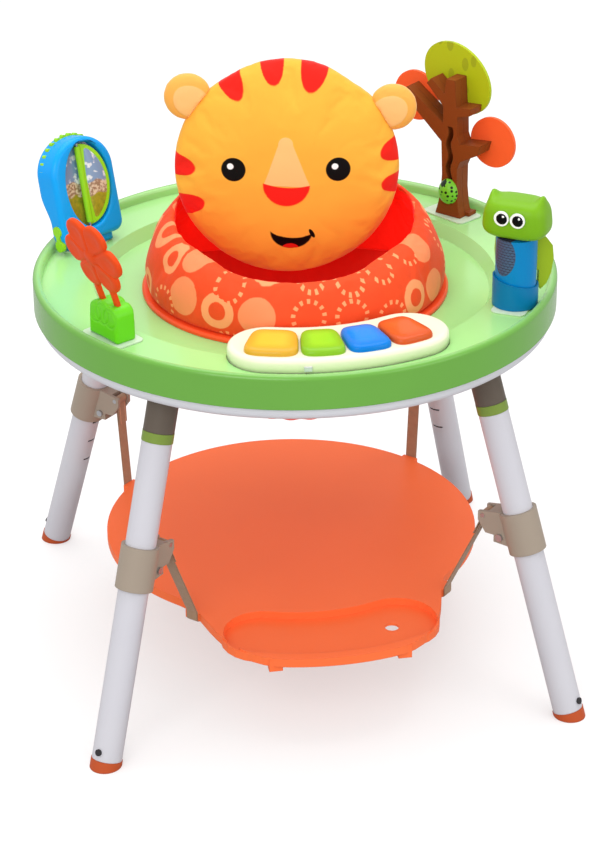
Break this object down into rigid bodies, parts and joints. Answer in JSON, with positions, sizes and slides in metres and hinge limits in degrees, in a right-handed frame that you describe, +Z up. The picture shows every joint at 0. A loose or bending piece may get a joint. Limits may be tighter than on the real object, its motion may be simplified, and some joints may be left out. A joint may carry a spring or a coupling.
{
  "type": "baby jumper activity center",
  "caption": "Round toy tray on splayed legs with a turning sling seat and head cushion, a strap-hung footboard, a toy piano and plug-in toys.",
  "frame": {"origin": "on the floor under the tray's axis", "axes": "+Z up, -Y to the piano side, +X to the piano's right"},
  "size_m": [0.7, 0.7, 0.827],
  "materials": {
    "green_shell": "glossy moulded green",
    "pale_shell": "smooth pale grey",
    "steel": "plated",
    "taupe": "satin taupe",
    "lime": "glossy lime",
    "tube": "white powder coat",
    "orange": "smooth orange",
    "webbing": "woven tan webbing",
    "print": "padded printed cloth",
    "plush": "stuffed yellow cloth",
    "lining": "red cloth",
    "cream": "glossy cream",
    "circuit": "circuit board",
    "dark": "dark grey",
    "yellow": "glossy yellow",
    "blue": "glossy blue",
    "brown": "satin brown",
    "olive": "olive",
    "owl_green": "glossy green"
  },
  "bodies": {
    "frame": {"tray_top": "green_shell", "tray_base": "pale_shell", "frame_screws": "steel", "leg_sockets": "taupe", "leg_bands": "lime", "leg_tube_fl": "tube", "leg_tube_fr": "tube", "leg_tube_bl": "tube", "leg_tube_br": "tube", "leg_feet": "orange", "piano_case": "cream", "piano_base": "cream", "piano_circuit": "circuit", "piano_speaker": "dark", "piano_door": "cream", "piano_screws": "steel", "piano_domes": "dark", "toy_plates": "pale_shell", "toy_pins": "steel", "tree_trunk": "brown", "tree_back": "brown", "tree_leaf_top": "olive", "tree_leaves": "orange", "owl_base": "blue", "flower_block": "lime", "turner_front": "blue", "turner_back": "blue", "turner_picture": "cream"},
    "footboard": {"footboard": "orange", "footboard_straps": "webbing"},
    "seat": {"seat_ring": "orange", "ring_retainer": "pale_shell", "retainer_screws": "steel", "seat_pad": "print", "head_cushion": "plush", "head_ears": "plush"},
    "sling": {"seat_sling": "lining", "crotch_pad": "lining"},
    "switch": {"piano_switch": "dark"},
    "key_yellow": {"key_yellow": "yellow"},
    "key_lime": {"key_lime": "lime"},
    "key_blue": {"key_blue": "blue"},
    "key_orange": {"key_orange": "orange"},
    "bug": {"tree_bug": "lime"},
    "owl": {"owl_drum": "blue", "owl_head": "owl_green", "owl_wings": "lime", "owl_eyes": "cream"},
    "flower": {"flower_petals": "orange"},
    "page": {"turner_page": "lime"},
    "wheel": {"turner_wheel": "lime"},
    "knob": {"turner_knob": "lime"},
    "collar_fl": {"leg_collar_fl": "taupe", "collar_pins_fl": "steel"},
    "collar_fr": {"leg_collar_fr": "taupe", "collar_pins_fr": "steel"},
    "collar_bl": {"leg_collar_bl": "taupe", "collar_pins_bl": "steel"},
    "collar_br": {"leg_collar_br": "taupe", "collar_pins_br": "steel"}
  },
  "joints": [
    {"name": "seat_spin", "type": "hinge", "parent": "frame", "child": "seat", "pos_m": [0, 0, 0.5224], "axis": [0, 0, 1], "continuous": true},
    {"name": "seat_bounce", "type": "slide", "parent": "seat", "child": "sling", "axis": [0, 0, 1], "range_m": [-0.035, 0], "stiffness_N_per_m": 900, "springref_m": 0.01},
    {"name": "footboard_height", "type": "slide", "parent": "frame", "child": "footboard", "axis": [0, 0, 1], "range_m": [-0.099, 0], "deforming": ["footboard_straps"]},
    {"name": "collar_fl_follow", "type": "slide", "parent": "footboard", "child": "collar_fl", "axis": [-0.7071, -0.7071, 0], "range_m": [0, 0.0312]},
    {"name": "collar_fr_follow", "type": "slide", "parent": "footboard", "child": "collar_fr", "axis": [0.7071, -0.7071, 0], "range_m": [0, 0.0312]},
    {"name": "collar_bl_follow", "type": "slide", "parent": "footboard", "child": "collar_bl", "axis": [-0.7071, 0.7071, 0], "range_m": [0, 0.0312]},
    {"name": "collar_br_follow", "type": "slide", "parent": "footboard", "child": "collar_br", "axis": [0.7071, 0.7071, 0], "range_m": [0, 0.0312]},
    {"name": "key_yellow_press", "type": "slide", "parent": "frame", "child": "key_yellow", "axis": [0, 0, 1], "range_m": [-0.003, 0], "stiffness_N_per_m": 400, "springref_m": 0.003},
    {"name": "key_lime_press", "type": "slide", "parent": "frame", "child": "key_lime", "axis": [0, 0, 1], "range_m": [-0.003, 0], "stiffness_N_per_m": 400, "springref_m": 0.003},
    {"name": "key_blue_press", "type": "slide", "parent": "frame", "child": "key_blue", "axis": [0, 0, 1], "range_m": [-0.003, 0], "stiffness_N_per_m": 400, "springref_m": 0.003},
    {"name": "key_orange_press", "type": "slide", "parent": "frame", "child": "key_orange", "axis": [0, 0, 1], "range_m": [-0.003, 0], "stiffness_N_per_m": 400, "springref_m": 0.003},
    {"name": "switch_slide", "type": "slide", "parent": "frame", "child": "switch", "axis": [0.9914, -0.1305, 0], "range_m": [-0.004, 0.004]},
    {"name": "bug_slide", "type": "slide", "parent": "frame", "child": "bug", "axis": [0, 0, 1], "range_m": [0, 0.08]},
    {"name": "owl_spin", "type": "hinge", "parent": "frame", "child": "owl", "pos_m": [0.2628, -0.1548, 0.5462], "axis": [0, 0, 1], "continuous": true},
    {"name": "flower_swing", "type": "hinge", "parent": "frame", "child": "flower", "pos_m": [-0.26414, -0.1525, 0.5812], "axis": [-0.5, 0.866, 0], "range_deg": [-18, 18], "stiffness_Nm_per_rad": 0.6},
    {"name": "page_flip", "type": "hinge", "parent": "frame", "child": "page", "pos_m": [-0.26285, 0.15926, 0.62635], "axis": [0.1132, -0.1744, -0.9781], "range_deg": [-10, 130]},
    {"name": "wheel_spin", "type": "hinge", "parent": "frame", "child": "wheel", "pos_m": [-0.27415, 0.17667, 0.63982], "axis": [-0.5327, 0.8203, -0.2079], "continuous": true},
    {"name": "knob_turn", "type": "hinge", "parent": "frame", "child": "knob", "pos_m": [-0.29921, 0.1262, 0.5626], "axis": [0.8387, 0.5446, 0], "continuous": true}
  ],
  "couplings": [
    {"joint": "collar_fl_follow", "follows": "footboard_height", "ratio": -0.31338},
    {"joint": "collar_fr_follow", "follows": "footboard_height", "ratio": -0.31338},
    {"joint": "collar_bl_follow", "follows": "footboard_height", "ratio": -0.31338},
    {"joint": "collar_br_follow", "follows": "footboard_height", "ratio": -0.31338}
  ]
}
